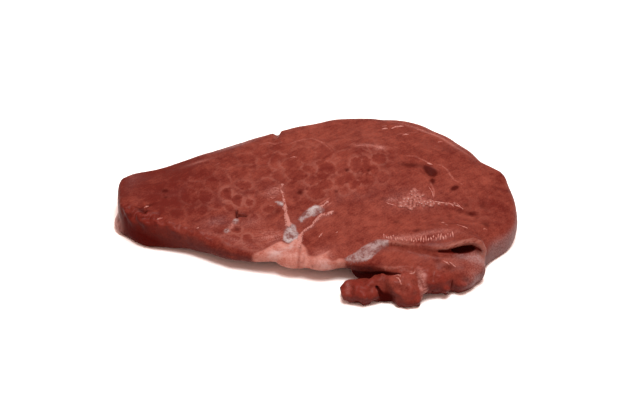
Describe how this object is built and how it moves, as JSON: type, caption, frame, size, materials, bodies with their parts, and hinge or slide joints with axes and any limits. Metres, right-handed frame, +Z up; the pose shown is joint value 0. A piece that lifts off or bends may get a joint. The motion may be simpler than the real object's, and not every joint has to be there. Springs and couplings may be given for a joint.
{
  "type": "raw liver",
  "caption": "Piece of raw liver: a thick wet slab, domed at its wide end, cut square at its narrow end, with a thin lifted front rim, a folded pocket and torn lobes.",
  "frame": {"origin": "the middle of the footprint's box, on the surface that the piece lies on", "axes": "+X from the narrow cut end to the wide end, +Y away from the lifted front rim with its fold and lobes, +Z up"},
  "size_m": [0.2428, 0.164, 0.0324],
  "materials": {
    "raw_liver": "moist brownish red flesh under a thin clear skin, with a few pale strands, patches of fat and grey gristle"
  },
  "bodies": {
    "root": {"liver": "raw_liver"}
  },
  "joints": []
}
